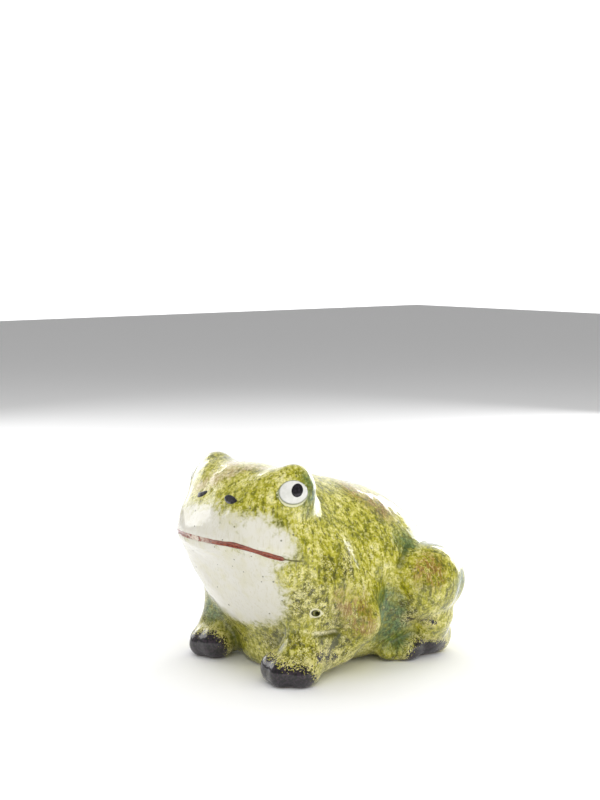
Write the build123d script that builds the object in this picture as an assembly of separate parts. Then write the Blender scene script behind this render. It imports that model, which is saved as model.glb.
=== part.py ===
from build123d import *

import os
from math import asin, cos, degrees, radians, sin

# A ceramic garden frog: a hollow slip-cast body in glazed earthenware, with its eyes, pupils,
# nostrils and mouth laid on as separate bodies of coloured glaze. Nothing on it moves.
# Millimetres. +Z up, the frog faces -Y and its left side is +X. The origin is the centre of
# the space it takes up, on the surface that it sits on.

# ------------------------------------------------------------------ driving dimensions
LENGTH = 144.0  # tip of the muzzle to the end of the rump
MUZZLE_Y = -LENGTH / 2
RUMP_Y = LENGTH / 2
WALL = 5.0  # thickness of the cast clay
VENT_RADIUS = 6.0  # hole in the sole that the slip was drained through
VENT_Y = 12.0

# Cross-sections of head and trunk, each two half ellipses that meet at the widest height:
# distance behind the muzzle, half width, widest height, top, bottom.
# On the head, the widest height is the line of the mouth.
SECTIONS = [
    (0.8, 11.5, 71.0, 76.5, 67.0),
    (3.0, 20.5, 71.0, 81.5, 65.0),
    (7.0, 28.5, 70.8, 87.5, 61.0),
    (12.0, 34.0, 69.5, 94.0, 53.0),
    (19.0, 39.0, 67.5, 100.5, 38.0),
    (28.0, 43.5, 65.0, 104.0, 23.0),
    (39.0, 45.0, 60.0, 104.0, 8.0),
    (53.0, 45.0, 51.0, 101.0, -1.0),
    (70.0, 46.0, 44.0, 97.5, -4.0),
    (89.0, 49.0, 40.0, 93.0, -4.0),
    (107.0, 48.5, 38.0, 87.0, -4.0),
    (122.0, 43.0, 36.0, 77.5, -3.0),
    (134.0, 32.0, 35.0, 64.5, 1.0),
    (140.5, 20.0, 34.0, 51.5, 12.0),
    (143.3, 8.0, 33.0, 40.0, 25.0),
]
MUZZLE_HEIGHT = 71.0
RUMP_HEIGHT = 33.0
TRUNK_HALF_WIDTH = 49.0
TRUNK_HEIGHT = 104.0

# Bumps and limbs of the frog's left side; the right side mirrors them.
EYE_BUMP, EYE_BUMP_RADII = (30.0, -36.6, 94.5), (11.5, 11.7, 13.5)
CHEST, CHEST_RADII = (0.0, -19.0, 8.0), (31.0, 17.5, 13.0)
SHOULDER, SHOULDER_RADIUS = (37.5, -21.0, 60.0), 9.5
ELBOW, ELBOW_RADIUS = (42.0, -5.0, 29.0), 11.5
FOREARM, FOREARM_RADIUS = (30.0, -9.0, 15.0), 11.0
WRIST, WRIST_RADIUS = (33.5, -33.0, 10.0), 10.5
SHIN_TOP, SHIN_TOP_RADIUS = (37.5, -25.5, 48.0), 10.5
SHIN_END, SHIN_END_RADIUS = (34.5, -33.5, 18.0), 10.0
FRONT_TOES = [((26.5, -43.5, 7.5), 8.0), ((34.5, -45.5, 6.5), 7.4), ((41.5, -40.0, 6.5), 6.7)]
FRONT_TOE_STRETCH = 1.5  # how much longer than wide a toe is
THIGH, THIGH_RADII, THIGH_TILT = (44.0, 39.0, 42.0), (19.0, 25.0, 19.8), 0.0
SHANK, SHANK_RADIUS = (44.0, 45.5, 24.0), 11.5
ANKLE, ANKLE_RADIUS = (36.0, 50.0, 13.0), 11.0
HEEL, HEEL_RADIUS = (33.0, 56.5, 9.0), 11.0
HIND_BALL, HIND_BALL_RADIUS = (32.0, 35.0, 8.0), 9.0
HIND_TOES = [((26.0, 30.0, 6.0), 6.0), ((33.0, 28.0, 6.0), 6.5), ((39.0, 34.0, 6.0), 6.0)]
HIND_TOE_STRETCH = 3.0

# Eyes, pupils and nostrils are lentils of glaze, sunk about half way into the clay. The pupils
# and nostrils were put on by hand, so each side has its own, all given as on the left side.
# Radii are along the heading, across it and up; a heading of 0 is straight ahead.
EYE, EYE_RISE, EYE_RADII = (37.2, -43.0, 95.4), 4.0, (3.4, 7.2, 6.6)
EYE_HEADING = 55.0
PUPIL_RADII = (1.1, 3.45, 3.95)
PUPILS = {"left": ((40.5, -43.0, 97.6), 62.0, 11.0), "right": ((38.4, -45.8, 96.6), 47.0, 7.0)}
NOSTRIL, NOSTRIL_HEADING, NOSTRIL_RISE = (11.4, -60.6, 92.6), 8.0, 50.0
NOSTRIL_RADII = {"left": (1.3, 4.6, 2.5), "right": (1.2, 2.7, 2.3)}

# The mouth is a band of red glaze that fills a groove, flush with the clay.
MOUTH_WIDTH = 2.3
MOUTH_DEPTH = 1.4
MOUTH_REACH = 21.0  # how far behind the muzzle its corners are
MOUTH_FALL = 9.0  # degrees that it drops towards the corners


# ------------------------------------------------------------------ helpers
def with_mirror_images(shapes):
    """The shapes of the left side, followed by those of the right side."""
    return shapes + [mirror(shape, about=Plane.YZ) for shape in shapes]


def ellipsoid(centre, radii, tilt=0.0):
    """An ellipsoid with its radii along X, Y and Z, then tilted about X."""
    return Pos(*centre) * Rot(X=tilt) * scale(Sphere(1.0), by=radii)


def lentil(centre, radii, heading, rise):
    """A flattened ellipsoid whose thickness points along the heading, lifted by the rise."""
    facing = Rot(Z=heading) * Rot(X=-rise)
    thickness, across, up = radii
    return Pos(*centre) * facing * scale(Sphere(1.0), by=(across, thickness, up))


def limb(start, start_radius, end, end_radius):
    """A tapering limb with round ends: the skin that hugs a ball at each end."""
    along = Vector(*end) - Vector(*start)
    reach = along.length
    lean = degrees(asin((start_radius - end_radius) / reach))

    def rim(radius, height, angle):
        return (radius * cos(radians(angle)), height + radius * sin(radians(angle)))

    foot, head = rim(start_radius, 0, -90), rim(end_radius, reach, 90)
    with BuildSketch(Plane.XZ) as half:
        with BuildLine():
            ThreePointArc(foot, rim(start_radius, 0, (lean - 90) / 2), rim(start_radius, 0, lean))
            Line(rim(start_radius, 0, lean), rim(end_radius, reach, lean))
            ThreePointArc(rim(end_radius, reach, lean), rim(end_radius, reach, (lean + 90) / 2), head)
            Line(head, foot)
        make_face()
    return Plane(origin=start, z_dir=along) * revolve(half.sketch, axis=Axis.Z)


# ------------------------------------------------------------------ clay body
def cross_section(behind, half_width, widest, top, bottom):
    """One cross-section of head and trunk as a closed wire."""
    plane = Plane(origin=(0, MUZZLE_Y + behind, widest), x_dir=(1, 0, 0), z_dir=(0, -1, 0))
    above = EllipticalCenterArc((0, 0), half_width, top - widest, 0, arc_size=180)
    below = EllipticalCenterArc((0, 0), half_width, widest - bottom, 180, arc_size=180)
    return plane * Wire([above, below])


def head_and_trunk():
    """One smooth skin over the cross-sections, closed at the muzzle and the rump."""
    muzzle = Vertex(0, MUZZLE_Y, MUZZLE_HEIGHT)
    rump = Vertex(0, RUMP_Y, RUMP_HEIGHT)
    return Solid.make_loft([muzzle, *[cross_section(*row) for row in SECTIONS], rump])


def inset(trunk, depth):
    """The trunk drawn in by about one depth all round, towards its middle."""
    middle = TRUNK_HEIGHT / 2
    factors = [(reach - depth) / reach for reach in (TRUNK_HALF_WIDTH, LENGTH / 2, middle)]
    return Pos(0, 0, middle * (1 - factors[2])) * scale(trunk, by=tuple(factors))


def toes(places, stretch):
    """A row of round toes, each a little longer than wide."""
    return [ellipsoid(place, (radius, radius + stretch, radius)) for place, radius in places]


def front_leg():
    return [
        limb(SHOULDER, SHOULDER_RADIUS, ELBOW, ELBOW_RADIUS),
        limb(FOREARM, FOREARM_RADIUS, WRIST, WRIST_RADIUS),
        limb(SHIN_TOP, SHIN_TOP_RADIUS, SHIN_END, SHIN_END_RADIUS),
        *toes(FRONT_TOES, FRONT_TOE_STRETCH),
    ]


def hind_leg():
    return [
        ellipsoid(THIGH, THIGH_RADII, THIGH_TILT),
        limb(SHANK, SHANK_RADIUS, ANKLE, ANKLE_RADIUS),
        limb(HEEL, HEEL_RADIUS, HIND_BALL, HIND_BALL_RADIUS),
        *toes(HIND_TOES, HIND_TOE_STRETCH),
    ]


def above(height, shape):
    """The part of the shape above a height."""
    size = 2 * LENGTH
    return shape & Pos(0, 0, height + size / 2) * Box(size, size, size)


def clay_body(trunk, inlays):
    """The hollow casting: flat sole, vent hole, and a socket for each inlay."""
    left = [ellipsoid(EYE_BUMP, EYE_BUMP_RADII), *front_leg(), *hind_leg()]
    solid = above(0, trunk.fuse(ellipsoid(CHEST, CHEST_RADII), *with_mirror_images(left)))
    hollow = above(WALL, inset(trunk, WALL))
    vent = Pos(0, VENT_Y, WALL) * Cylinder(VENT_RADIUS, 3 * WALL)
    body = solid - hollow - vent
    for inlay in inlays:
        body -= inlay
    return body


# ------------------------------------------------------------------ glaze inlays
def mouth_line(trunk):
    """The band of glaze in the groove of the mouth."""
    size = 3 * TRUNK_HALF_WIDTH
    slab = Pos(0, MOUTH_REACH - size / 2, 0) * Box(size, size, MOUTH_WIDTH)
    slab = Pos(0, MUZZLE_Y, MUZZLE_HEIGHT) * Rot(X=-MOUTH_FALL) * slab
    return (trunk & slab) - inset(trunk, MOUTH_DEPTH)


def face_glazes(side):
    """The eye, pupil and nostril of one side, all as on the frog's left."""
    eye = lentil(EYE, EYE_RADII, EYE_HEADING, EYE_RISE)
    place, heading, rise = PUPILS[side]
    pupil = lentil(place, PUPIL_RADII, heading, rise)
    nostril = lentil(NOSTRIL, NOSTRIL_RADII[side], NOSTRIL_HEADING, NOSTRIL_RISE)
    return {"eye": eye, "pupil": pupil, "nostril": nostril}


trunk = head_and_trunk()
mouth = mouth_line(trunk)
glazes = {f"{name}_left": shape for name, shape in face_glazes("left").items()}
for name, shape in face_glazes("right").items():
    glazes[f"{name}_right"] = mirror(shape, about=Plane.YZ)

nodes = {"clay_body": clay_body(trunk, [mouth, *glazes.values()]), "mouth_line": mouth, **glazes}
for side in ("left", "right"):
    nodes[f"eye_{side}"] = glazes[f"eye_{side}"] - glazes[f"pupil_{side}"]

os.makedirs("parts", exist_ok=True)
for name, shape in nodes.items():
    export_step(shape, f"parts/{name}.step")
    print(name, round(shape.volume, 1), shape.bounding_box())
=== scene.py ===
"""Looks of a glazed ceramic frog: its sculpted casting, what is laid on it, and the glazes of both.

The sculpting is done in millimetres of the real frog and brought into the frame at the end.
+Z is up, the frog faces -Y and its left side is +X. Heading 0 is straight ahead, 90 is the frog's left.
"""
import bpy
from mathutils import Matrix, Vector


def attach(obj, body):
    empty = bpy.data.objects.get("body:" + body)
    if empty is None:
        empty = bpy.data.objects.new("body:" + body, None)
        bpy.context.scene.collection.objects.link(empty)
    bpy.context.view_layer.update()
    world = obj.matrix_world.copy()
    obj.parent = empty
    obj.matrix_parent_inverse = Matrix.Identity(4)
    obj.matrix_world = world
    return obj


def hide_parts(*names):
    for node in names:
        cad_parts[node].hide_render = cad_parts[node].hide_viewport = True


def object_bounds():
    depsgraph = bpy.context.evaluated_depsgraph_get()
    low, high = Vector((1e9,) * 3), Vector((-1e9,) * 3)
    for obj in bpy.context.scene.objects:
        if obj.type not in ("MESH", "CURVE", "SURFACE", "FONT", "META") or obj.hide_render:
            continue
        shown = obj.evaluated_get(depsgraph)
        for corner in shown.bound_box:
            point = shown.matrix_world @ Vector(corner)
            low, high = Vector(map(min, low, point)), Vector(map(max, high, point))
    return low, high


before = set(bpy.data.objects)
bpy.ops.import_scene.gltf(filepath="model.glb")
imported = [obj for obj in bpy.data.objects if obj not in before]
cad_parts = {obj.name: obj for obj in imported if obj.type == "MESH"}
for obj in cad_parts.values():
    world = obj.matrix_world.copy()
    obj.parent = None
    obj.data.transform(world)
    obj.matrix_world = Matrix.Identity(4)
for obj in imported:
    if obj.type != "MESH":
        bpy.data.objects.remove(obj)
cad_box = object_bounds()

from types import SimpleNamespace

import bpy
import numpy as np
from mathutils import Vector

# ------------------------------------------------------------------ the frame
REAL_LENGTH = 144.0  # millimetres from muzzle to rump
LOW, HIGH = (np.array(corner) for corner in cad_box)
MM = (HIGH[1] - LOW[1]) / REAL_LENGTH  # one millimetre of the frog, in metres of the frame
ORIGIN = np.array([(LOW[0] + HIGH[0]) / 2, (LOW[1] + HIGH[1]) / 2, LOW[2]])
MUZZLE_Y = -REAL_LENGTH / 2

SEED = 7
VOXEL = 0.98

# ------------------------------------------------------------------ sculpture: the parts of the frog
# Head and trunk: distance behind the muzzle, half width, height of the widest line, top, bottom
SECTIONS = np.array([
    (0.0, 0.1, 71.0, 71.1, 70.9),
    (0.8, 11.5, 71.0, 76.5, 67.0),
    (3.0, 20.5, 71.0, 81.5, 65.0),
    (7.0, 28.5, 70.8, 87.5, 61.0),
    (12.0, 34.0, 69.5, 94.0, 53.0),
    (19.0, 39.0, 67.5, 100.5, 38.0),
    (28.0, 43.5, 65.0, 104.0, 23.0),
    (39.0, 45.0, 60.0, 104.0, 10.0),
    (53.0, 45.0, 51.0, 101.0, -1.0),
    (70.0, 46.0, 44.0, 97.5, -4.0),
    (89.0, 49.0, 40.0, 93.0, -4.0),
    (107.0, 48.5, 38.0, 87.0, -4.0),
    (122.0, 43.0, 36.0, 78.0, -3.0),
    (134.0, 32.0, 35.0, 64.5, 1.0),
    (140.5, 20.0, 34.0, 51.5, 12.0),
    (143.3, 8.0, 33.0, 40.0, 25.0),
    (144.0, 0.1, 33.0, 33.1, 32.9),
])

# Balls, as centre and radii, with how softly each runs into what is there already
BALLS = [
    ("eye bump", (31.6, -36.8, 95.0), (10.2, 10.6, 13.4), 8.0),
    ("chest", (0.0, -19.0, 8.0), (31.0, 16.5, 12.0), 9.0),
    ("thigh", (44.0, 39.0, 42.0), (19.0, 25.0, 19.8), 3.5),
    ("front toe 1", (26.5, -43.5, 7.5), (8.0, 9.5, 8.5), 4.0),
    ("front toe 2", (34.5, -45.5, 6.5), (7.0, 9.0, 8.0), 4.0),
    ("front toe 3", (41.5, -40.0, 6.5), (6.5, 8.5, 7.0), 3.0),
    ("hind toe 1", (26.0, 30.0, 6.0), (6.0, 9.0, 6.0), 3.0),
    ("hind toe 2", (33.0, 28.0, 6.0), (6.5, 9.5, 6.5), 3.0),
    ("hind toe 3", (39.0, 34.0, 6.0), (6.0, 9.0, 6.0), 3.0),
]

# Limbs: start, start radius, end, end radius, and how softly each runs into what is there
LIMBS = [
    ("brow", (26.5, -45.0, 90.0), 8.0, (19.0, -56.0, 82.0), 6.0, 10.0),
    ("forehead", (0.0, -38.0, 92.0), 10.5, (21.0, -40.0, 91.5), 11.8, 11.0),
    ("upper arm", (37.5, -21.0, 60.0), 9.0, (42.0, -5.0, 29.0), 11.5, 9.0),
    ("elbow", (42.0, -5.0, 29.0), 11.5, (32.0, -9.0, 16.0), 10.0, 5.0),
    ("forearm", (30.0, -9.0, 15.0), 10.0, (33.5, -33.0, 10.0), 10.5, 7.0),
    ("shin", (37.5, -25.5, 48.0), 10.5, (34.5, -33.5, 18.0), 9.0, 9.0),
    ("calf", (44.0, 45.5, 24.0), 11.5, (36.0, 50.0, 13.0), 11.0, 3.0),
    ("hind foot", (33.0, 56.5, 9.0), 11.0, (32.0, 35.0, 8.0), 9.0, 4.0),
]

# Soft valleys, as limbs that are taken away
VALLEYS = [
    ("waist", (54.0, 11.0, 48.0), 5.0, (50.0, 15.0, 14.0), 8.0, 9.0),
    ("knee back", (66.0, 60.0, 58.0), 3.0, (62.0, 52.0, 26.0), 4.0, 6.0),
]

# Creases of the skin seen from the side: start and end as y and z, width, depth
CREASES = [
    ("hip fold", (19.0, 53.0), (27.0, 61.0), 1.1, 1.2),
    ("forearm crease", (-34.5, 26.4), (-19.0, 24.4), 1.3, 1.1),
]
CREASE_SHADE = 1.7  # how far below the crease the painted shade lies
CREASES_BEYOND = 20.0  # creases are only this far out from the middle, on the flanks
FAR_AWAY = 99.0  # stands for the distance to something that isn't near

# The right forefoot stands a little further out and back than the left one
RIGHT_FOOT, RIGHT_FOOT_SHIFT, RIGHT_FOOT_REACH = (34.0, -44.0, 4.0), (3.5, 5.0, 0.0), 17.0

# A glaze blister that burst in the kiln, on the frog's left foreleg only, and the pit it left
BLISTER = (43.0, -33.0, 36.3)
PIT_RADII = (2.4, 1.7, 1.7)

SOLE_ROUNDING, PIT_ROUNDING, VENT_ROUNDING = 1.0, 0.6, 0.8  # of the edges left by what is cut away
VENT_RADIUS, VENT_Y = 6.0, 12.0
CHAMBER, CHAMBER_RADII = (0.0, 12.0, 26.0), (24.0, 30.0, 21.0)  # the hollow behind the vent

# The mouth runs round this upright axis at a height that falls away towards its corners
MOUTH_AXIS_Y = -35.0
MOUTH_TOP, MOUTH_FALL = 71.4, 8.0
MOUTH_FALL_FROM, MOUTH_FALL_TO = 30.0, 82.0
MOUTH_RED_TO, MOUTH_END = 69.5, 82.0
MOUTH_GROOVE, MOUTH_GROOVE_WIDTH = 0.8, 1.0
GROOVE_FADES_BEFORE, GROOVE_FADES_AFTER = 3, 2  # degrees on either side of where the red line ends

WOBBLE = 0.22  # unevenness of the hand-finished clay
WOBBLE_WAVES = 14
WOBBLE_LENGTHS = (11.0, 40.0)
WOBBLE_GAIN = 1.4  # brings the sum of the waves up to about the size of the wobble
WOBBLE_FROM, WOBBLE_FULL = 1.0, 6.0  # it fades in between these heights, so the sole stays flat


def smooth_columns(rows):
    """Rows of x, a, b, c... as a dense table, with smooth curves that never overshoot between rows."""
    x = rows[:, 0]
    dense = np.linspace(x[0], x[-1], 1600)
    i = np.clip(np.searchsorted(x, dense) - 1, 0, len(x) - 2)
    step = np.diff(x)
    t = (dense - x[i]) / step[i]
    columns = [dense]
    for y in rows[:, 1:].T:
        slope = np.diff(y) / step
        left, right = slope[:-1], slope[1:]
        wide, narrow = 2 * step[1:] + step[:-1], step[1:] + 2 * step[:-1]
        same_way = left * right > 0
        safe_left, safe_right = np.where(same_way, left, 1), np.where(same_way, right, 1)
        inner = np.where(same_way, (wide + narrow) / (wide / safe_left + narrow / safe_right), 0)
        m = np.concatenate([slope[:1], inner, slope[-1:]])
        columns.append(
            y[i] * (1 + 2 * t) * (1 - t) ** 2 + m[i] * step[i] * t * (1 - t) ** 2
            + y[i + 1] * t * t * (3 - 2 * t) + m[i + 1] * step[i] * t * t * (t - 1)
        )
    return columns


TRUNK = smooth_columns(SECTIONS)
LEAST_SHARE = 0.15  # outside, the field is at least this share of the sideways distance
END_GAP = 0.1  # the trunk's field is only worked out this far inside its two tips
SLOPE_STEP = 0.4
FIELD_LIMIT = 60


def smooth_step(value, low, high):
    t = np.clip((value - low) / (high - low), 0, 1)
    return t * t * (3 - 2 * t)


def join(a, b, softness):
    """Union of two distance fields, with a fillet."""
    overlap = np.maximum(softness - np.abs(a - b), 0) / softness
    return np.minimum(a, b) - overlap * overlap * softness / 4


def carve(a, b, softness):
    """Field a with the inside of field b taken away."""
    return -join(-a, b, softness)


def ball(points, centre, radii):
    offset = points - np.array(centre)
    radii = np.array(radii)
    near = np.linalg.norm(offset / radii, axis=1)
    steep = np.linalg.norm(offset / radii ** 2, axis=1) + 1e-9
    return near * (near - 1) / steep


def limb(points, start, start_radius, end, end_radius):
    start, along = np.array(start), np.array(end) - np.array(start)
    t = np.clip((points - start) @ along / (along @ along), 0, 1)
    radius = start_radius + (end_radius - start_radius) * t
    return np.linalg.norm(points - start - t[:, None] * along, axis=1) - radius


def trunk_reach(x, behind, z):
    """1 on the trunk's skin, less inside, more outside."""
    half_width, widest, top, bottom = (np.interp(behind, TRUNK[0], column) for column in TRUNK[1:])
    height = np.where(z > widest, top - widest, widest - bottom)
    return np.sqrt((x / half_width) ** 2 + ((z - widest) / height) ** 2)


def trunk(points):
    """Distance field of head and trunk."""
    x, z = points[:, 0], points[:, 2]
    past = points[:, 1] - MUZZLE_Y
    behind = np.clip(past, END_GAP, REAL_LENGTH - END_GAP)
    e = SLOPE_STEP
    reach = trunk_reach(x, behind, z)
    slope_x = (trunk_reach(x + e, behind, z) - reach) / e
    slope_y = (trunk_reach(x, behind + e, z) - trunk_reach(x, behind - e, z)) / (2 * e) / np.maximum(reach, 1)
    slope_z = (trunk_reach(x, behind, z + e) - reach) / e
    distance = (reach - 1) / (np.sqrt(slope_x ** 2 + slope_y ** 2 + slope_z ** 2) + 1e-6)
    middle = np.interp(behind, TRUNK[0], TRUNK[2])
    sideways = np.hypot(x, z - middle) * (1 - 1 / np.maximum(reach, 1))
    distance = np.maximum(distance, np.where(reach > 1, LEAST_SHARE * sideways, distance))
    return np.clip(distance, -FIELD_LIMIT, FIELD_LIMIT) + np.abs(past - behind)


def from_crease(points, start, end):
    """Distance from a crease, seen from the side. Creases are only on the frog's flanks."""
    away = limb(points * (0, 1, 1), (0, *start), 0, (0, *end), 0)
    return np.where(np.abs(points[:, 0]) > CREASES_BEYOND, away, FAR_AWAY)


def sculpt(points):
    """Distance field of the even casting, before it is grooved and vented. Points are folded ones."""
    d = trunk(points)
    for _, centre, radii, softness in BALLS:
        d = join(d, ball(points, centre, radii), softness)
    for _, start, start_radius, end, end_radius, softness in LIMBS:
        d = join(d, limb(points, start, start_radius, end, end_radius), softness)
    for _, start, start_radius, end, end_radius, softness in VALLEYS:
        d = carve(d, limb(points, start, start_radius, end, end_radius), softness)
    for _, start, end, width, depth in CREASES:
        d += depth * np.exp(-((from_crease(points, start, end) / width) ** 2))
    return carve(d, points[:, 2], SOLE_ROUNDING)


def wobble(points):
    """Small random unevenness of the clay, smooth and the same each time."""
    rng = np.random.default_rng(SEED)
    total = np.zeros(len(points))
    for _ in range(WOBBLE_WAVES):
        direction = rng.normal(size=3)
        wavelength = rng.uniform(*WOBBLE_LENGTHS)
        wave = direction / np.linalg.norm(direction) * 2 * np.pi / wavelength
        total += np.sin(points @ wave + rng.uniform(0, 2 * np.pi)) * (wavelength / WOBBLE_LENGTHS[1]) ** 0.5
    return WOBBLE * total / WOBBLE_WAVES ** 0.5 * WOBBLE_GAIN


def heading(points):
    """Degrees round the mouth's axis from straight ahead, positive on the frog's left."""
    return np.degrees(np.arctan2(points[:, 0], MOUTH_AXIS_Y - points[:, 1]))


def mouth_height(angle):
    return MOUTH_TOP - MOUTH_FALL * smooth_step(np.abs(angle), MOUTH_FALL_FROM, MOUTH_FALL_TO)


def mouth_groove(points):
    angle = heading(points)
    rise = points[:, 2] - mouth_height(angle)
    fade = MOUTH_RED_TO - GROOVE_FADES_BEFORE, MOUTH_RED_TO + GROOVE_FADES_AFTER
    ends = 1 - smooth_step(np.abs(angle), *fade)
    return MOUTH_GROOVE * ends * np.exp(-(rise / MOUTH_GROOVE_WIDTH) ** 2)


def finish_clay(points, even_field):
    """The casting's field made uneven, grooved and vented."""
    above_sole = smooth_step(points[:, 2], WOBBLE_FROM, WOBBLE_FULL)
    d = even_field - wobble(points) * above_sole + mouth_groove(points)
    d = carve(d, ball(points, BLISTER, PIT_RADII), PIT_ROUNDING)
    across = np.hypot(points[:, 0], points[:, 1] - VENT_Y)
    vent = np.maximum(across - VENT_RADIUS, points[:, 2] - CHAMBER[2])
    return carve(d, np.minimum(vent, ball(points, CHAMBER, CHAMBER_RADII)), VENT_ROUNDING)


def fold(points):
    """The points brought over to the frog's left, where everything is defined."""
    right = points[:, 0] < 0
    folded = np.array(points)
    folded[:, 0] = np.abs(points[:, 0])
    from_foot = np.linalg.norm(folded - RIGHT_FOOT, axis=1) / RIGHT_FOOT_REACH
    nearness = np.where(right, np.exp(-from_foot ** 4), 0)
    return folded - nearness[:, None] * RIGHT_FOOT_SHIFT


def frog(points):
    """Distance field of the whole frog."""
    return finish_clay(points, sculpt(fold(points)))


def outward(points, e=0.15):
    """The field's slope at each point."""
    steps = np.eye(3) * e
    return np.stack([(frog(points + step) - frog(points - step)) / (2 * e) for step in steps], axis=1)


# ------------------------------------------------------------------ from field to mesh
GRID_SIDE, GRID_TOP = 66, 112  # how far out and up the frog is looked for
GRID_LIFT = 0.4  # share of a voxel that keeps the grid's layers off the flat sole
SETTLING_STEPS = 3


def surface_mesh(values, axes):
    """Points and four-sided faces of the zero surface of values on a grid (surface nets)."""
    inside = values < 0
    corners = [np.array([i, j, k]) for i in (0, 1) for j in (0, 1) for k in (0, 1)]
    cells_shape = np.array(values.shape) - 1
    window = [tuple(slice(c[a], c[a] + cells_shape[a]) for a in range(3)) for c in corners]
    full = sum(inside[w].astype(np.int8) for w in window)
    mixed = (full > 0) & (full < 8)
    cells = np.argwhere(mixed)
    number = np.full(mixed.shape, -1)
    number[mixed] = np.arange(len(cells))

    total, hits = np.zeros((len(cells), 3)), np.zeros(len(cells))
    for a in corners:
        for axis in range(3):
            if a[axis]:
                continue
            b = a + np.eye(3, dtype=int)[axis]
            ia, ib = cells + a, cells + b
            va, vb = values[tuple(ia.T)], values[tuple(ib.T)]
            crossed = (va < 0) != (vb < 0)
            pa = np.stack([axes[n][ia[:, n]] for n in range(3)], 1)
            pb = np.stack([axes[n][ib[:, n]] for n in range(3)], 1)
            t = np.where(crossed, va / np.where(crossed, va - vb, 1), 0)[:, None]
            total += np.where(crossed[:, None], pa + t * (pb - pa), 0)
            hits += crossed
    points = total / hits[:, None]

    faces = []
    for axis in range(3):
        u, v = (axis + 1) % 3, (axis + 2) % 3
        core = [slice(1, -1)] * 3
        core[axis] = slice(0, -1)
        ahead = list(core)
        ahead[axis] = slice(1, None)
        first, second = inside[tuple(core)], inside[tuple(ahead)]
        at = np.argwhere(first != second)
        leaves = first[tuple(at.T)]
        base = at + np.array([1 if a != axis else 0 for a in range(3)])
        du, dv = np.eye(3, dtype=int)[u], np.eye(3, dtype=int)[v]
        quad = np.stack([number[tuple((base - s).T)] for s in (0 * du, du, du + dv, dv)], 1)
        faces.append(np.where(leaves[:, None], quad, quad[:, ::-1]))
    return points, np.concatenate(faces)


def frog_mesh():
    """Points and faces of the casting, each point settled on the field's zero."""
    margin = 3 * VOXEL
    half = np.arange(0, GRID_SIDE + margin, VOXEL)
    axes = [
        np.concatenate([-half[:0:-1], half]),
        np.arange(MUZZLE_Y - margin, -MUZZLE_Y + margin, VOXEL),
        np.arange(-margin + GRID_LIFT * VOXEL, GRID_TOP, VOXEL),
    ]
    grid = np.stack(np.meshgrid(*axes, indexing="ij"), -1)
    values = frog(grid.reshape(-1, 3)).reshape(grid.shape[:3])
    points, faces = surface_mesh(values, axes)
    for _ in range(SETTLING_STEPS):
        slope = outward(points)
        step = frog(points)[:, None] * slope / ((slope ** 2).sum(1)[:, None] + 1e-6)
        points -= np.clip(step, -0.5 * VOXEL, 0.5 * VOXEL)
    points[:, 2] = np.maximum(points[:, 2], 0)
    return points, faces


def add_mesh(name, points, faces, material, attributes=None, cad_nodes=()):
    """A smooth object from points in the frog's millimetres, riding on the one body."""
    mesh = bpy.data.meshes.new(name)
    faces = faces.tolist() if isinstance(faces, np.ndarray) else faces
    mesh.from_pydata((ORIGIN + points * MM).tolist(), [], faces)
    for key, values in (attributes or {}).items():
        mesh.attributes.new(key, "FLOAT", "POINT").data.foreach_set("value", np.asarray(values, np.float32))
    mesh.shade_smooth()
    mesh.materials.append(material)
    piece = bpy.data.objects.new(name, mesh)
    bpy.context.scene.collection.objects.link(piece)
    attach(piece, "root")
    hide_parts(*cad_nodes)
    return piece


# ------------------------------------------------------------------ glaze laid on the clay
EYE, EYE_RISE = (37.9, -43.2, 95.8), 4.0
EYE_HEADING = {"left": 49.0, "right": 41.0}
EYE_HALF_WIDTH, EYE_HALF_HEIGHT = 7.3, 6.6
EYE_CORNER, EYE_CORNER_SPREAD = 0.9, 0.35
EYEBALL_AT, EYEBALL_RADII = (0.3, 0.9), (7.1, 5.9)
EYEBALL_BULGE, LID_HEIGHT, LID_LINE, LID_LINE_WIDTH = 0.9, 0.45, 0.35, 0.06
PUPIL_AT, PUPIL_RADII, PUPIL_BULGE = {"left": (2.0, 1.6), "right": (-1.2, 0.6)}, (3.45, 3.95), 0.3
NOSTRIL = (11.4, -60.6, 90.6)
NOSTRIL_RADII = {"left": (4.3, 2.5), "right": (2.3, 2.3)}
NOSTRIL_POINT, NOSTRIL_POINT_SPREAD, NOSTRIL_LEAN = 1.7, 0.3, 0.75
NOSTRIL_LIFT, NOSTRIL_BULGE = 0.1, 0.15
BLISTER_HEADING, BLISTER_RISE = 50.0, 5.0
BLISTER_RADII, BLISTER_WAVE = (3.4, 2.5), 0.12
BLISTER_LIFT, BLISTER_LIP, LIP_AT, LIP_WIDTH = 0.05, 0.4, 0.82, 0.12
BLISTER_HOLE = 0.7  # share of the blister that has burst open
SUNK = 0.6  # how deep the laid-on glaze reaches under the skin
MOUTH_HALF_WIDTH, MOUTH_LIFT, MOUTH_THICK = 1.15, 0.12, 0.25
INCISION_HALF_WIDTH = 0.3
MOUTH_FROM, MOUTH_FAR, MOUTH_DEEP = 40, 12.0, 38.0  # where the search for the skin starts and how far it goes
HALVINGS = 24  # of the search for the skin


def land(points, direction, far=14.0, deep=12.0):
    """The points, moved along the direction from outside until they lie on the frog's skin."""
    low, high = np.full(len(points), -far), np.full(len(points), deep)
    for _ in range(HALVINGS):
        middle = (low + high) / 2
        outside = frog(points + direction * middle[:, None]) > 0
        low, high = np.where(outside, middle, low), np.where(outside, high, middle)
    return points + direction * low[:, None]


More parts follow.
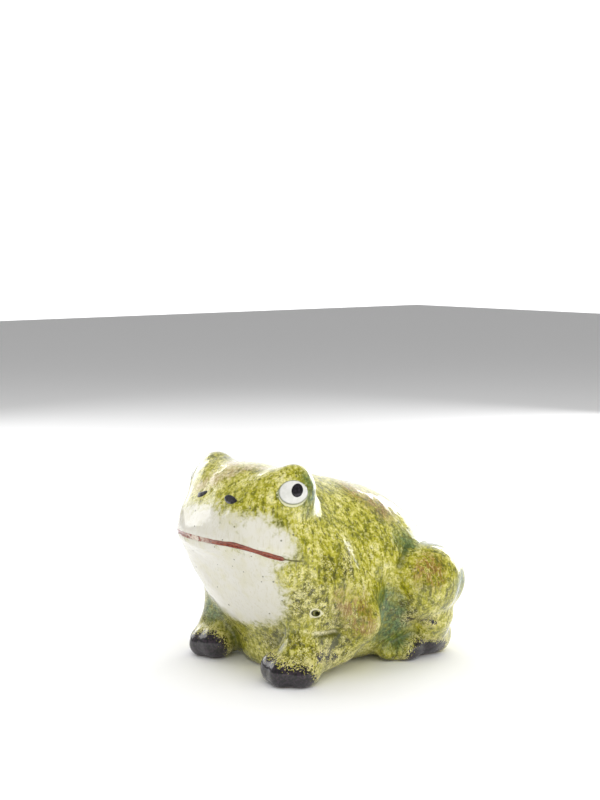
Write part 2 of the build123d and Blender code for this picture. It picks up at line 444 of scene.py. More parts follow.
def axes_facing(side, degrees_round, degrees_up):
    """Outward, backward and upward directions of a spot that faces that way."""
    h, r = np.radians(degrees_round), np.radians(degrees_up)
    out = np.array([side * np.sin(h) * np.cos(r), -np.cos(h) * np.cos(r), np.sin(r)])
    back = np.array([side * np.cos(h), np.sin(h), 0.0])
    up = np.array([-side * np.sin(h) * np.sin(r), np.cos(h) * np.sin(r), np.cos(r)])
    return out, back, up


def axes_on_skin(centre):
    """Outward, backward and upward directions of the skin nearest a point."""
    out = outward(np.array([centre]))[0]
    out /= np.linalg.norm(out)
    side = np.sign(centre[0])
    back = side * np.cross([0.0, 0.0, 1.0], out)
    back /= np.linalg.norm(back)
    return out, back, side * np.cross(out, back)


def patch(side, centre, axes, outline, height, rings=26, spokes=96):
    """A thin closed body of glaze on the skin: outline gives its rim, height how far it stands out."""
    out, back, up = axes
    angles = np.linspace(0, 2 * np.pi, spokes, endpoint=False)
    share = np.sin(np.linspace(0, np.pi / 2, rings + 1))[1:]
    rim_u, rim_v = outline(angles)
    u = np.concatenate([[0.0], np.outer(share, rim_u).ravel()])
    v = np.concatenate([[0.0], np.outer(share, rim_v).ravel()])
    share = np.concatenate([[0.0], np.repeat(share, spokes)])
    skin = land(np.array(centre) + u[:, None] * back + v[:, None] * up, -out)
    edge = np.sqrt(np.clip(1 - share ** 6, 0, 1))
    top = skin + out * (height(u, v) * edge)[:, None]
    bottom = skin - out * SUNK
    faces = []
    for k in range(spokes):
        n = (k + 1) % spokes
        faces.append((0, 1 + k, 1 + n, 1 + n))
        for r in range(rings - 1):
            a = 1 + r * spokes
            faces.append((a + k, a + spokes + k, a + spokes + n, a + n))
    faces = np.array(faces)
    last = 1 + (rings - 1) * spokes + np.arange(spokes)
    after = np.roll(last, -1)
    under = faces[:, ::-1] + len(top)
    wall = np.stack([last, last + len(top), after + len(top), after], 1)
    faces = np.concatenate([faces, under, wall])
    if side < 0:
        faces = faces[:, ::-1]
    quads = [tuple(dict.fromkeys(face)) for face in faces.tolist()]
    return np.concatenate([top, bottom]), quads, np.tile(u, 2), np.tile(v, 2)


def eye_share(u, v):
    """0 in the middle of the eyeball, 1 on the line of its lower lid."""
    return np.hypot((u - EYEBALL_AT[0]) / EYEBALL_RADII[0], (v - EYEBALL_AT[1]) / EYEBALL_RADII[1])


def eye_height(u, v):
    share = eye_share(u, v)
    bulge = EYEBALL_BULGE * np.sqrt(np.clip(1 - share ** 2, 0, 1))
    line = LID_LINE * np.exp(-((share - 1) / LID_LINE_WIDTH) ** 2)
    return LID_HEIGHT + bulge - line


def eye_outline(angles):
    corner = EYE_CORNER * np.exp(-((np.abs(angles) - np.pi) / EYE_CORNER_SPREAD) ** 2)
    return (EYE_HALF_WIDTH + corner) * np.cos(angles), EYE_HALF_HEIGHT * np.sin(angles)


def pupil_outline(angles):
    return PUPIL_RADII[0] * np.cos(angles), PUPIL_RADII[1] * np.sin(angles)


def nostril_outline(angles, radii):
    """A drop drawn out to a point on its outer side, its upper rim leaning inwards."""
    around = (angles + np.pi) % (2 * np.pi) - np.pi
    point = NOSTRIL_POINT * np.exp(-np.abs(around / NOSTRIL_POINT_SPREAD))
    u, v = (radii[0] + point) * np.cos(angles), radii[1] * np.sin(angles)
    return u - NOSTRIL_LEAN * v, v


def nostril_height(u, v, radii):
    share = ((u + NOSTRIL_LEAN * v) / (radii[0] + NOSTRIL_POINT)) ** 2 + (v / radii[1]) ** 2
    return NOSTRIL_LIFT + NOSTRIL_BULGE * np.sqrt(np.clip(1 - share, 0, 1))


def blister_share(u, v):
    """0 in the middle of the blister, 1 on its rim."""
    return np.hypot(u / BLISTER_RADII[0], v / BLISTER_RADII[1])


def blister_height(u, v):
    return BLISTER_LIFT + BLISTER_LIP * np.exp(-((blister_share(u, v) - LIP_AT) / LIP_WIDTH) ** 2)


def blister_outline(angles):
    wave = 1 + BLISTER_WAVE * np.cos(3 * angles + 0.6)
    return BLISTER_RADII[0] * wave * np.cos(angles), BLISTER_RADII[1] * wave * np.sin(angles)


def mouth_ribbon(across=8, along=260):
    """The red line in its groove, thinning to a bare incision past each corner."""
    angle = np.linspace(-MOUTH_END, MOUTH_END, along)
    rng = np.random.default_rng(SEED + 1)
    brush = sum(np.sin(angle * rng.uniform(0.08, 0.6) + rng.uniform(0, 6)) for _ in range(6)) / 6
    red = 1 - smooth_step(np.abs(angle), MOUTH_RED_TO - 2.5, MOUTH_RED_TO + 0.5)
    end = np.clip((MOUTH_END - np.abs(angle)) / 4, 0.15, 1)
    brushed_half_width = MOUTH_HALF_WIDTH * (1 + 0.25 * brush)
    half_width = INCISION_HALF_WIDTH * end + (brushed_half_width - INCISION_HALF_WIDTH) * red
    w = np.linspace(-1, 1, across + 1)
    rise = mouth_height(angle)[:, None] + half_width[:, None] * w
    radians = np.radians(angle)
    out = np.stack([np.sin(radians), -np.cos(radians), 0 * radians], 1).repeat(across + 1, 0)
    start = np.stack([0 * rise, 0 * rise + MOUTH_AXIS_Y, rise], -1).reshape(-1, 3) + out * MOUTH_FROM
    skin = land(start, -out, far=MOUTH_FAR, deep=MOUTH_DEEP)
    top = skin + out * (MOUTH_LIFT + MOUTH_THICK * np.tile(1 - w ** 2, along))[:, None]
    bottom = skin - out * SUNK
    at = np.arange(along * (across + 1)).reshape(along, across + 1)
    quads = np.stack([at[:-1, :-1], at[1:, :-1], at[1:, 1:], at[:-1, 1:]], -1).reshape(-1, 4)
    rim = np.concatenate([at[:-1, 0], at[-1, :-1], at[:0:-1, -1], at[0, :0:-1]])
    wall = np.stack([rim, rim + at.size, np.roll(rim, -1) + at.size, np.roll(rim, -1)], 1)
    faces = np.concatenate([quads, quads[:, ::-1] + at.size, wall])
    values = {"round": np.tile(angle.repeat(across + 1), 2), "red": np.tile(red.repeat(across + 1), 2)}
    return np.concatenate([top, bottom]), faces, values


# ------------------------------------------------------------------ where each colour was dabbed
# Centre and radius of each dab. One at positive x is on both sides, one at negative x only on the right.
DABS = {
    "cream": [
        (0, -66, 74, 15.0), (15, -62, 75, 12.5), (27, -57, 75, 12.5), (36, -51, 70, 9.5),
        (0, -64, 62, 16.0), (14, -60, 60, 15.0), (26, -56, 62, 12.0), (24, -49, 48, 13.5),
        (0, -50, 40, 16.0), (12, -50, 42, 17.0), (23, -46, 39, 10.5),
    ],
    "teal": [
        (45.5, 9, 37, 6.0), (43, 14, 28, 8.5), (40, 18, 18, 8.5), (41, 27, 12, 6.5),
        (42, 28, 63, 6.0), (44, 45, 63, 7.0), (60, 53, 42, 7.0),
        (41, -35, 100, 5.5), (42, -32, 93, 6.0), (-31, -40, 27, 7.0),
    ],
    "rust": [
        (20, 12, 89, 8.0), (29, 21, 82, 9.5), (59, 30, 52, 9.0),
        (50, -14, 36, 7.0), (52, -10, 27, 6.0), (49, -22, 45, 4.0),
    ],
    # rubbed: glaze rubbed thin along the head's ridge, and partly a painted highlight there
    "rubbed_and_highlight": [
        (-24, -58, 90, 3.5), (-16, -56.5, 94, 4.0), (-8, -54, 97.5, 4.5),
        (-1, -50, 101, 4.5), (6, -45, 104, 4.0), (13, -41, 105, 3.0),
    ],
    # worked: where the sponging is busier, and also painted shade darkening the legs and chest
    "worked_and_shaded": [
        (37, -32, 42, 14.0), (40, -22, 24, 14.0), (36, -34, 16, 12.0), (48, -22, 58, 7.0), (46, 24, 26, 9.0),
        (20, -34, 22, 12.0), (-20, -34, 22, 12.0),
    ],
    "black": [
        (25, -49, 5, 9.6), (34, -52, 3, 9.8), (43, -44, 3, 8.6), (-25, -49, 2, 4.0),
        (41, 37, 3, 7.5), (43, 45, 3, 7.0), (44, 52, 3, 6.0),
        (45.2, -33, 14.2, 2.2), (44.5, -26, 13, 2.0), (42.5, -20, 11, 1.6),
        (48, 27, 24.5, 1.8), (51, 33, 23, 1.8), (53, 38, 22, 1.4),
    ],
}
DAB_SOFTNESS = 5.0
HOLLOW_REACH = 3.0  # how far out a point looks to find that it lies in a hollow
CREASE_EDGE, SHADE_EDGES = 0.2, (0.3, 1.4)


def dabbed(points, dabs):
    """Millimetres inside the dabs, negative outside."""
    folded = fold(points)
    outside = np.full(len(points), FAR_AWAY)
    for x, y, z, radius in dabs:
        from_dab = np.linalg.norm((points if x < 0 else folded) - (x, y, z), axis=1) - radius
        outside = join(outside, from_dab, min(DAB_SOFTNESS, 2 * radius))
    return -outside


def paint(points):
    """The attributes that the body's glaze reads, one value per point."""
    slope = outward(points)
    normal = slope / (np.linalg.norm(slope, axis=1)[:, None] + 1e-9)
    values = {key: dabbed(points, dabs) for key, dabs in DABS.items()}
    _, start, end, width, _ = CREASES[-1]
    values["crease"] = 1 - smooth_step(from_crease(points, start, end), CREASE_EDGE, width)
    # painted shade: a dark band just below the forearm crease
    below = from_crease(points + (0, 0, CREASE_SHADE), start, end)
    values["painted_shade_under_crease"] = 1 - smooth_step(below, *SHADE_EDGES)
    values["hollow"] = np.clip(1 - frog(points + normal * HOLLOW_REACH) / HOLLOW_REACH, 0, 1)
    return values


# ------------------------------------------------------------------ glazes
COAT_ROUGHNESS, COAT_IOR = 0.04, 1.55
UNDER_COAT_SPECULAR = 0.2  # the coloured glaze under the clear one hardly shines itself


def srgb(red, green, blue):
    """A colour given in 0-255 steps, as the linear values that shaders use."""
    part = np.array([red, green, blue]) / 255
    linear = np.where(part <= 0.04045, part / 12.92, ((part + 0.055) / 1.055) ** 2.4)
    return (*linear.tolist(), 1.0)


# Sponged green, from thick to thin, and what is flecked and brushed over it; the worked green is partly
# painted shade
LEAF_GREENS = [
    (0.24, srgb(90, 92, 2)), (0.4, srgb(136, 136, 6)), (0.5, srgb(176, 171, 30)),
    (0.6, srgb(203, 197, 84)), (0.74, srgb(230, 224, 158)),
]
STRAW, PALE_SPECK = srgb(238, 230, 150), srgb(242, 236, 178)
VEIN_GREEN, STROKE_GREEN = srgb(82, 80, 2), srgb(92, 88, 2)
WORKED_SHADE_GREEN, BLOT_GREEN, CURL_BROWN = srgb(124, 120, 4), srgb(62, 60, 0), srgb(70, 62, 4)

# Patches, glaze that pooled or was rubbed away, painted shade below the crease, and the rubbed tans that are
# partly a painted highlight
RUST_BROWNS = [
    (0.36, srgb(84, 46, 4)), (0.48, srgb(134, 92, 22)),
    (0.57, srgb(166, 132, 64)), (0.66, srgb(214, 198, 140)),
]
DEEP_TEAL, LIGHT_TEAL = srgb(6, 56, 26), srgb(72, 114, 58)
POOLED_GREEN, SHADE_GREEN = srgb(62, 74, 10), srgb(74, 76, 10)
CREASE_CREAM, RUBBED_HIGHLIGHT_BROWN, RUBBED_HIGHLIGHT_TAN = srgb(226, 220, 176), srgb(184, 158, 112), srgb(214, 200, 166)

# Cream front, black toes and the bare sole
COOL_CREAM, WARM_CREAM, DRIP_CREAM = srgb(226, 223, 210), srgb(220, 216, 190), srgb(206, 200, 172)
WASHED_GREEN, PINHOLE = srgb(190, 186, 104), srgb(92, 88, 60)
HALO_STRAW, TOE_BLACK, TOE_VIOLET = srgb(218, 208, 140), srgb(16, 12, 15), srgb(50, 38, 48)
BARE_CLAY = srgb(205, 178, 138)

# Eyes, drops, blister and mouth
EYE_WHITE, EYE_GREY, LID_CREAM = srgb(233, 232, 226), srgb(222, 222, 214), srgb(224, 222, 178)
LID_LINE_GREEN, EYE_RIM_GREEN = srgb(112, 118, 84), srgb(110, 118, 60)
DROP_BLACK, DROP_VIOLET = srgb(10, 9, 11), srgb(46, 40, 50)
LIP_CREAM, LIP_GREEN = srgb(226, 222, 184), srgb(170, 164, 60)
HOLE_DARK, HOLE_OLIVE = srgb(28, 28, 12), srgb(58, 58, 24)
MOUTH_DARK, MOUTH_RED = srgb(104, 34, 18), srgb(158, 78, 50)
MOUTH_WORN, INCISION_OLIVE = srgb(222, 205, 186), srgb(96, 92, 40)


class Glaze:
    """A ceramic material, and short names for the nodes that make its pattern."""

    def __init__(self, name):
        self.material = bpy.data.materials.new(name)
        self.material.use_nodes = True
        self.tree = self.material.node_tree
        self.shader = self.tree.nodes["Principled BSDF"]
        place = self.tree.nodes.new("ShaderNodeTexCoord").outputs["Object"]
        self.place = self.vector("SCALE", place, scale=1 / MM)

    def connect(self, value, socket):
        if isinstance(value, bpy.types.NodeSocket):
            self.tree.links.new(value, socket)
        else:
            socket.default_value = value

    def vector(self, operation, a, b=(0, 0, 0), scale=1.0):
        node = self.tree.nodes.new("ShaderNodeVectorMath")
        node.operation = operation
        self.connect(a, node.inputs[0])
        if operation == "SCALE":
            node.inputs["Scale"].default_value = scale
        else:
            self.connect(b, node.inputs[1])
        return node.outputs[0]

    def sum(self, a, b, operation="ADD", clamp=False):
        node = self.tree.nodes.new("ShaderNodeMath")
        node.operation = operation
        node.use_clamp = clamp
        self.connect(a, node.inputs[0])
        self.connect(b, node.inputs[1])
        return node.outputs[0]

    def times(self, a, b):
        return self.sum(a, b, "MULTIPLY")

    def swing(self, noise, amount):
        """A noise about 0.5 as a value about 0, so many times as strong."""
        return self.times(self.sum(noise, -0.5), amount)

    def gap(self, value, middle):
        """How far the value is from the middle, either way."""
        return self.sum(self.sum(value, -middle), 0.0, "ABSOLUTE")

    def attribute(self, name):
        node = self.tree.nodes.new("ShaderNodeAttribute")
        node.attribute_name = name
        return node.outputs["Fac"]

    def noise(self, size, detail=2.0, rough=0.5, place=None, colour=False):
        """Cloudy values about 0.5, with patches of about this size in millimetres."""
        node = self.tree.nodes.new("ShaderNodeTexNoise")
        self.connect(place or self.place, node.inputs["Vector"])
        node.inputs["Scale"].default_value = 1 / size
        node.inputs["Detail"].default_value = detail
        node.inputs["Roughness"].default_value = rough
        return node.outputs["Color" if colour else "Fac"]

    def cells(self, size):
        """How far the nearest cell's middle is, as a share of the size, and a random value for each cell."""
        node = self.tree.nodes.new("ShaderNodeTexVoronoi")
        self.connect(self.place, node.inputs["Vector"])
        node.inputs["Scale"].default_value = 1 / size
        return node.outputs["Distance"], node.outputs["Color"]

    def height(self):
        """Millimetres above the origin."""
        node = self.tree.nodes.new("ShaderNodeSeparateXYZ")
        self.connect(self.place, node.inputs[0])
        return node.outputs["Z"]

    def warped(self, size, amount):
        """The place, pushed about by a noise."""
        push = self.vector("SUBTRACT", self.noise(size, colour=True), (0.5, 0.5, 0.5))
        return self.vector("ADD", self.place, self.vector("SCALE", push, scale=amount))

    def stretched(self, turn, factors):
        """The place, turned by angles in degrees and then squeezed along its axes, for streaks."""
        node = self.tree.nodes.new("ShaderNodeMapping")
        self.connect(self.place, node.inputs["Vector"])
        node.inputs["Rotation"].default_value = np.radians(turn).tolist()
        node.inputs["Scale"].default_value = factors
        return node.outputs["Vector"]

    def band(self, value, low, high):
        """0 below low, 1 above high, smooth between. Low may be the larger."""
        node = self.tree.nodes.new("ShaderNodeMapRange")
        node.interpolation_type = "SMOOTHSTEP"
        flipped = low > high
        self.connect(value, node.inputs["Value"])
        node.inputs["From Min"].default_value = min(low, high)
        node.inputs["From Max"].default_value = max(low, high)
        node.inputs["To Min"].default_value = 1.0 if flipped else 0.0
        node.inputs["To Max"].default_value = 0.0 if flipped else 1.0
        return node.outputs["Result"]

    def ramp(self, value, *stops):
        """A colour that runs through the stops, each a value and a colour."""
        node = self.tree.nodes.new("ShaderNodeValToRGB")
        self.connect(value, node.inputs["Fac"])
        elements = node.color_ramp.elements
        while len(elements) < len(stops):
            elements.new(0.5)
        for element, (position, colour) in zip(elements, stops):
            element.position = position
            element.color = colour
        return node.outputs["Color"]

    def mix(self, share, a, b):
        """Colour a, with b over it by share."""
        node = self.tree.nodes.new("ShaderNodeMix")
        node.data_type = "RGBA"
        self.connect(share, node.inputs["Factor"])
        for value, socket in ((a, node.inputs[6]), (b, node.inputs[7])):
            self.connect(value, socket)
        return node.outputs[2]

    def bump(self, height, depth, under=None):
        """A normal from a height of 0 to 1 that stands for depth in millimetres."""
        node = self.tree.nodes.new("ShaderNodeBump")
        node.inputs["Distance"].default_value = depth * MM
        self.connect(height, node.inputs["Height"])
        if under is not None:
            self.connect(under, node.inputs["Normal"])
        return node.outputs["Normal"]

    def finish(self, colour, roughness, normal, coat_normal, coat=1.0):
        """The material, with a clear coat over the glaze."""
        self.connect(colour, self.shader.inputs["Base Color"])
        self.connect(roughness, self.shader.inputs["Roughness"])
        self.connect(normal, self.shader.inputs["Normal"])
        self.connect(coat_normal, self.shader.inputs["Coat Normal"])
        self.shader.inputs["Coat Weight"].default_value = coat
        self.shader.inputs["Coat Roughness"].default_value = COAT_ROUGHNESS
        self.shader.inputs["Coat IOR"].default_value = COAT_IOR
        self.shader.inputs["Specular IOR Level"].default_value = UNDER_COAT_SPECULAR
        return self.material


def body_noises(g):
    """The patterns that the body's colours share, from broad clouds down to grit."""
    loose = g.warped(3.0, 2.6)
    return SimpleNamespace(
        broad=g.noise(24.0),
        patchy=g.noise(9.0, 3.0),
        mottle=g.noise(3.2, 3.0, 0.6, place=loose),
        fine=g.noise(1.5, 2.0, 0.55, place=loose),
        grit=g.noise(0.75, 2.0, 0.6),
        streaks=g.noise(1.7, 3.0, 0.6, place=g.stretched((52, 0, 0), (1.0, 1.0, 0.14))),
    )


def leaf_colour(g, n):
    """Sponged yellow-green, busier where it was worked over, and darker there, partly as painted shade."""
    tone = g.sum(g.swing(n.mottle, 0.9), g.swing(n.patchy, 0.5))
    tone = g.sum(g.sum(tone, g.swing(n.streaks, 0.55)), g.swing(n.broad, 0.5))
    leaf = g.ramp(g.sum(tone, 0.5), *LEAF_GREENS)
    worked_and_shaded = g.band(g.sum(g.attribute("worked_and_shaded"), g.swing(n.patchy, 30.0)), -6.0, 6.0)
    clouds = g.band(g.sum(n.patchy, g.swing(n.broad, 0.6)), 0.4, 0.62)
    busy = g.sum(g.times(clouds, 0.5), g.times(worked_and_shaded, 0.5))

    flecks = g.times(g.band(n.fine, 0.52, 0.62), g.sum(g.times(busy, 0.45), 0.35))
    leaf = g.mix(flecks, leaf, STRAW)
    veins = g.times(g.band(g.gap(n.fine, 0.47), 0.045, 0.0), g.sum(g.times(busy, 0.8), 0.25))
    leaf = g.mix(veins, leaf, VEIN_GREEN)
    # painted shade: the worked parts of the legs and chest are darkened
    leaf = g.mix(g.times(worked_and_shaded, 0.2), leaf, WORKED_SHADE_GREEN)
    blots = g.times(g.band(n.mottle, 0.49, 0.39), worked_and_shaded)
    leaf = g.mix(g.times(blots, 0.9), leaf, BLOT_GREEN)
    curls = g.times(g.band(g.gap(n.mottle, 0.52), 0.022, 0.006), worked_and_shaded)
    leaf = g.mix(g.times(curls, 0.8), leaf, CURL_BROWN)
    specks = g.times(g.band(n.grit, 0.56, 0.64), g.band(g.sum(n.patchy, g.times(n.mottle, 0.4)), 0.66, 0.8))
    leaf = g.mix(g.times(specks, g.sum(g.times(worked_and_shaded, 0.5), 0.25)), leaf, PALE_SPECK)
    strokes = g.times(g.band(n.streaks, 0.45, 0.34), g.band(n.grit, 0.62, 0.45))
    return g.mix(g.times(strokes, 0.8), leaf, STROKE_GREEN)


def stained(g, n, leaf):
    """The leaf colour with rust and teal patches, pooled hollows, the creases with painted shade below them,
    and a rubbed brow that is partly a painted highlight.
    """
    rust_edge = g.band(g.sum(g.attribute("rust"), g.swing(n.patchy, 14.0)), -5.0, 5.0)
    rust = g.times(rust_edge, g.band(g.sum(n.streaks, g.swing(n.fine, 0.5)), 0.38, 0.56))
    brushed = g.noise(1.0, 3.0, 0.6, place=g.stretched((38, 0, 0), (1.0, 1.0, 0.16)))
    leaf = g.mix(g.times(rust, 0.85), leaf, g.ramp(brushed, *RUST_BROWNS))
    teal_edge = g.band(g.sum(g.attribute("teal"), g.swing(n.patchy, 14.0)), -5.0, 4.0)
    teal = g.times(teal_edge, g.band(n.mottle, 0.3, 0.56))
    leaf = g.mix(g.times(teal, 0.88), leaf, g.mix(g.band(n.fine, 0.38, 0.62), DEEP_TEAL, LIGHT_TEAL))
    pooled = g.band(g.attribute("hollow"), 0.12, 0.6)
    leaf = g.mix(g.times(pooled, 0.6), leaf, POOLED_GREEN)

    # painted shade: the band below the forearm crease is darkened
    leaf = g.mix(g.times(g.attribute("painted_shade_under_crease"), 0.8), leaf, SHADE_GREEN)
    leaf = g.mix(g.times(g.attribute("crease"), g.band(n.grit, 0.3, 0.5)), leaf, CREASE_CREAM)
    # the rubbed band: thin glaze, and partly a painted highlight along the head's ridge
    rubbed_and_highlight = g.band(g.sum(g.attribute("rubbed_and_highlight"), g.swing(n.streaks, 12.0)), -2.5, 2.5)
    tan = g.mix(g.band(n.fine, 0.4, 0.6), RUBBED_HIGHLIGHT_BROWN, RUBBED_HIGHLIGHT_TAN)
    return g.mix(g.times(rubbed_and_highlight, 0.75), leaf, tan)


def creamed(g, n, leaf):
    """The leaf colour under the cream of muzzle, throat and chest, with pinholes through both."""
    cream = g.mix(g.band(n.patchy, 0.45, 0.75), COOL_CREAM, WARM_CREAM)
    drips = g.noise(1.1, 2.0, 0.6, place=g.stretched((0, 0, 0), (1.0, 1.0, 0.13)))
    cream = g.mix(g.times(g.band(drips, 0.5, 0.72), 0.5), cream, DRIP_CREAM)
    inside = g.attribute("cream")
    washed = g.times(g.band(g.sum(inside, g.swing(n.mottle, 14.0)), 4.0, -3.0), 0.8)
    cream = g.mix(washed, cream, WASHED_GREEN)
    ragged = g.sum(g.sum(g.swing(n.mottle, 8.0), g.swing(n.fine, 9.0)), g.swing(drips, 5.0))
    colour = g.mix(g.band(g.sum(inside, ragged), -3.5, 3.5), leaf, cream)
    hole, chosen = g.cells(5.0)
    pinholes = g.times(g.band(hole, 0.13, 0.08), g.band(chosen, 0.45, 0.5))
    return g.mix(g.times(pinholes, 0.8), colour, PINHOLE)


def blackened(g, n, colour):
    """The colour with black run over the toes, in spatters with a pale halo at its edge."""
    edge = g.attribute("black")
    gritty = g.band(g.sum(n.grit, g.swing(n.mottle, 0.5)), 0.44, 0.56)
    halo = g.times(g.times(g.band(edge, -5.0, -1.0), g.band(edge, 3.0, 0.5)), gritty)
    colour = g.mix(g.times(halo, 0.75), colour, HALO_STRAW)
    spatter = g.noise(0.9, 2.0, 0.6)
    black = g.band(g.sum(edge, g.swing(spatter, 13.0)), -0.4, 0.4)
    return g.mix(black, colour, g.mix(g.band(n.fine, 0.42, 0.62), TOE_BLACK, TOE_VIOLET))


def body_glaze():
    """Sponged yellow-green over cream, with teal pools, rust patches and black toes, under clear gloss."""
    g = Glaze("speckled_green_glaze")
    n = body_noises(g)
    colour = blackened(g, n, creamed(g, n, stained(g, n, leaf_colour(g, n))))
    bare = g.band(g.height(), 0.4, 0.1)
    colour = g.mix(bare, colour, BARE_CLAY)
    skin = g.bump(g.noise(6.0, 1.0), 0.3)
    skin = g.bump(g.noise(1.8, 2.0), 0.05, under=skin)
    relief = g.sum(g.times(n.fine, 0.6), g.times(n.streaks, 0.4))
    roughness = g.sum(g.times(n.grit, 0.3), 0.3)
    return g.finish(colour, roughness, g.bump(relief, 0.1, under=skin), skin)


def eye_glaze():
    """White, a little warmer on the lower lid, with a grey-green line between."""
    g = Glaze("white_glaze")
    white = g.mix(g.band(g.noise(2.5, 3.0), 0.4, 0.7), EYE_WHITE, EYE_GREY)
    colour = g.mix(g.attribute("lid"), white, LID_CREAM)
    colour = g.mix(g.times(g.attribute("line"), 0.8), colour, LID_LINE_GREEN)
    rim = g.times(g.attribute("rim"), g.band(g.noise(1.0), 0.35, 0.55))
    colour = g.mix(rim, colour, EYE_RIM_GREEN)
    skin = g.bump(g.noise(3.0, 2.0), 0.1)
    return g.finish(colour, g.sum(g.times(g.noise(0.9), 0.2), 0.15), skin, skin)


def black_glaze():
    """Black with a violet-brown bloom where it lies thick."""
    g = Glaze("black_glaze")
    bloom = g.band(g.noise(1.3, 3.0, 0.6), 0.42, 0.68)
    colour = g.mix(bloom, DROP_BLACK, DROP_VIOLET)
    skin = g.bump(g.noise(1.5, 2.0), 0.08)
    return g.finish(colour, g.sum(g.times(bloom, 0.2), 0.3), skin, skin, coat=0.6)


def blister_glaze():
    """Cream lip round a dark hole down to stained clay."""
    g = Glaze("blister_glaze")
    greened = g.times(g.attribute("edge"), g.band(g.noise(1.0), 0.4, 0.6))
    lip = g.mix(greened, LIP_CREAM, LIP_GREEN)
    hole = g.mix(g.band(g.noise(1.2, 2.0), 0.4, 0.6), HOLE_DARK, HOLE_OLIVE)
    colour = g.mix(g.attribute("burst"), lip, hole)
    skin = g.bump(g.noise(1.2, 2.0), 0.06)
    return g.finish(colour, g.sum(g.attribute("burst"), 0.2), skin, skin, coat=0.5)


def mouth_glaze():
    """Brushed red-brown, streaked along the stroke, worn back to cream at the tip."""
    g = Glaze("red_glaze")
    along = g.noise(0.45, 2.0, 0.6, place=g.stretched((0, 0, 0), (0.25, 0.25, 1.0)))
    red = g.mix(g.band(along, 0.4, 0.62), MOUTH_DARK, MOUTH_RED)
    worn = g.times(g.attribute("worn"), g.band(g.noise(1.7, 3.0, 0.6), 0.4, 0.5))
    colour = g.mix(worn, red, MOUTH_WORN)
    bare = g.sum(1.0, g.attribute("red"), "SUBTRACT", clamp=True)
    colour = g.mix(bare, colour, INCISION_OLIVE)
    skin = g.bump(along, 0.08)
    return g.finish(colour, g.sum(g.times(along, 0.3), 0.2), skin, skin)


# ------------------------------------------------------------------ the frog
LID_EDGES, EYE_RIM_EDGES, BLISTER_EDGES = (1.0, 1.03), (0.93, 1.0), (0.9, 1.0)  # shares where each fades in
BURST_EDGES = (BLISTER_HOLE - 0.08, BLISTER_HOLE + 0.02)
WORN_AT, WORN_WIDTH = -4, 15  # degrees round the mouth where the red has worn off


def add_eye(side, word, white, black):
    """One white eye with the black drop of its pupil."""
    axes = axes_facing(side, EYE_HEADING[word], EYE_RISE)
    centre = np.array(EYE) * (side, 1, 1)
    points, faces, u, v = patch(side, centre, axes, eye_outline, eye_height, rings=40, spokes=144)
    share = eye_share(u, v)
    values = {
        "lid": smooth_step(share, *LID_EDGES),
        "line": np.exp(-((share - 1) / LID_LINE_WIDTH) ** 2),
        "rim": smooth_step(np.hypot(u / EYE_HALF_WIDTH, v / EYE_HALF_HEIGHT), *EYE_RIM_EDGES),
    }
    add_mesh(f"eye_{word}.white", points, faces, white, values, [f"eye_{word}"])

    at = PUPIL_AT[word]

    def pupil_height(u, v):
        share = np.clip((u / PUPIL_RADII[0]) ** 2 + (v / PUPIL_RADII[1]) ** 2, 0, 1)
        return eye_height(u + at[0], v + at[1]) + PUPIL_BULGE * np.sqrt(1 - share)

    middle = centre + at[0] * axes[1] + at[1] * axes[2]
    points, faces, u, v = patch(side, middle, axes, pupil_outline, pupil_height)
    add_mesh(f"pupil_{word}.drop", points, faces, black, {}, [f"pupil_{word}"])


def add_nostril(side, word, black):
    radii = NOSTRIL_RADII[word]

    def outline(angles):
        return nostril_outline(angles, radii)

    def height(u, v):
        return nostril_height(u, v, radii)

    centre = np.array(NOSTRIL) * (side, 1, 1)
    points, faces, u, v = patch(side, centre, axes_on_skin(centre), outline, height)
    add_mesh(f"nostril_{word}.drop", points, faces, black, {}, [f"nostril_{word}"])


def add_blister(glaze):
    axes = axes_facing(1, BLISTER_HEADING, BLISTER_RISE)
    points, faces, u, v = patch(1, BLISTER, axes, blister_outline, blister_height, rings=30)
    share = blister_share(u, v)
    values = {"burst": 1 - smooth_step(share, *BURST_EDGES), "edge": smooth_step(share, *BLISTER_EDGES)}
    add_mesh("clay_body.blister", points, faces, glaze, values, ["clay_body"])


def add_mouth(glaze):
    points, faces, values = mouth_ribbon()
    values["worn"] = np.exp(-((values.pop("round") - WORN_AT) / WORN_WIDTH) ** 2)
    add_mesh("mouth_line.brushed", points, faces, glaze, values, ["mouth_line"])


def build_frog():
    glazed, white, black = body_glaze(), eye_glaze(), black_glaze()
    points, faces = frog_mesh()
    values = paint(points)
    add_mesh("clay_body.sculpted", points, faces, glazed, values, ["clay_body"])
    for side, word in ((1, "left"), (-1, "right")):
        add_eye(side, word, white, black)
        add_nostril(side, word, black)
    add_blister(blister_glaze())
    add_mouth(mouth_glaze())


# ------------------------------------------------------------------ studio
CAMERA_ROUND, CAMERA_AWAY, CAMERA_HEIGHT, CAMERA_DIP = 50.0, 800.0, 220.0, 6.0
CAMERA_ABOUT_Y = -7.0
LENS_SHARE = 1.95  # focal length as a share of the sensor's longer side
SENSOR = 36.0
AIM_HEIGHT = 50  # of the middle of the frog, which the lights face
FLOOR_REACH = 3.0  # metres
PAPER_WHITE, PAPER_ROUGHNESS = (0.97, 0.97, 0.97, 1), 0.9
ROOM, BACKDROP = 0.28, 1.35  # brightness of the room all round and of its white wall behind the frog
BACKDROP_EDGE = (0.6, 0.9)  # cosines of the angles from straight behind where the wall fades out

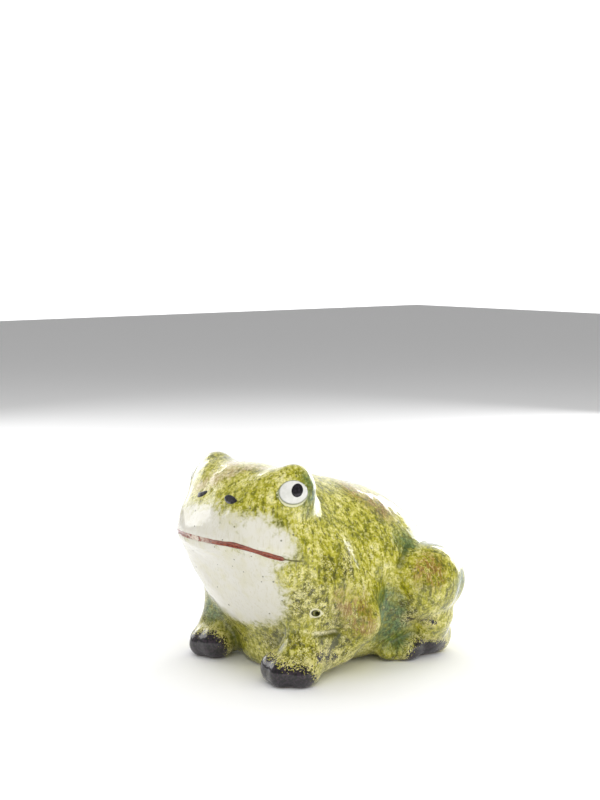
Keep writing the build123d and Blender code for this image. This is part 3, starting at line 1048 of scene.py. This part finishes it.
# Lights: degrees round from behind the frog as the camera sees it, degrees up, distance in metres, width and
# height in metres, power in watts, and whether the gloss mirrors it
LIGHTS = [
    ("left_softbox", -50.0, 20.0, 1.0, (1.1, 0.42), 3.5, True),
    ("right_softbox", 40.0, 11.0, 1.1, (0.78, 0.58), 7.0, True),
    ("overhead_fill", 0.0, 80.0, 0.9, (1.2, 1.2), 4.8, False),
    ("front_fill", 180.0, 38.0, 1.2, (1.4, 1.4), 8.2, False),
    ("side_fill", 105.0, 22.0, 1.2, (1.1, 1.1), 3.8, False),
]


def add_camera():
    turn, dip = np.radians(CAMERA_ROUND), np.radians(CAMERA_DIP)
    place = np.array([np.sin(turn) * CAMERA_AWAY, CAMERA_ABOUT_Y - np.cos(turn) * CAMERA_AWAY, CAMERA_HEIGHT])
    look = Vector((-np.sin(turn) * np.cos(dip), np.cos(turn) * np.cos(dip), -np.sin(dip)))
    data = bpy.data.cameras.new("camera")
    data.sensor_width = SENSOR
    data.lens = SENSOR * LENS_SHARE
    camera = bpy.data.objects.new("camera", data)
    camera.location = ORIGIN + place * MM
    camera.rotation_euler = look.to_track_quat("-Z", "Y").to_euler()
    bpy.context.scene.collection.objects.link(camera)
    bpy.context.scene.camera = camera


def add_softbox(name, round_back, degrees_up, distance, size, power, mirrored):
    """A rectangular light near the frog, aimed at its middle."""
    data = bpy.data.lights.new(name, "AREA")
    data.shape = "RECTANGLE"
    data.size, data.size_y = size
    data.energy = power
    turn, rise = np.radians(CAMERA_ROUND - round_back), np.radians(degrees_up)
    away = Vector((-np.sin(turn) * np.cos(rise), np.cos(turn) * np.cos(rise), np.sin(rise))) * distance
    light = bpy.data.objects.new(name, data)
    light.location = Vector((ORIGIN + np.array([0, 0, AIM_HEIGHT]) * MM).tolist()) + away
    light.rotation_euler = (-away).to_track_quat("-Z", "Y").to_euler()
    light.visible_glossy = mirrored
    bpy.context.scene.collection.objects.link(light)


def add_floor():
    data = bpy.data.meshes.new("floor")
    z = float(ORIGIN[2])
    corners = [(x * FLOOR_REACH, y * FLOOR_REACH, z) for x, y in ((-1, -1), (1, -1), (1, 1), (-1, 1))]
    data.from_pydata(corners, [], [(0, 1, 2, 3)])
    paper = bpy.data.materials.new("white_paper")
    paper.use_nodes = True
    shader = paper.node_tree.nodes["Principled BSDF"]
    shader.inputs["Base Color"].default_value = PAPER_WHITE
    shader.inputs["Roughness"].default_value = PAPER_ROUGHNESS
    data.materials.append(paper)
    floor = bpy.data.objects.new("floor", data)
    bpy.context.scene.collection.objects.link(floor)


def add_room():
    """A dim white room, with a bright wall behind the frog."""
    world = bpy.data.worlds.new("white_room")
    world.use_nodes = True
    tree = world.node_tree
    tree.nodes["Background"].inputs["Color"].default_value = (1.0, 1.0, 1.0, 1)
    direction = tree.nodes.new("ShaderNodeTexCoord").outputs["Generated"]
    behind = tree.nodes.new("ShaderNodeVectorMath")
    behind.operation = "DOT_PRODUCT"
    turn = np.radians(CAMERA_ROUND)
    behind.inputs[1].default_value = (-np.sin(turn), np.cos(turn), 0)
    tree.links.new(direction, behind.inputs[0])
    strength = tree.nodes.new("ShaderNodeMapRange")
    strength.interpolation_type = "SMOOTHSTEP"
    for socket, value in zip(("From Min", "From Max", "To Min", "To Max"), (*BACKDROP_EDGE, ROOM, BACKDROP)):
        strength.inputs[socket].default_value = value
    tree.links.new(behind.outputs["Value"], strength.inputs["Value"])
    tree.links.new(strength.outputs["Result"], tree.nodes["Background"].inputs["Strength"])
    bpy.context.scene.world = world


build_frog()
add_camera()
add_floor()
add_room()
for light in LIGHTS:
    add_softbox(*light)
bpy.context.scene.view_settings.view_transform = "Standard"
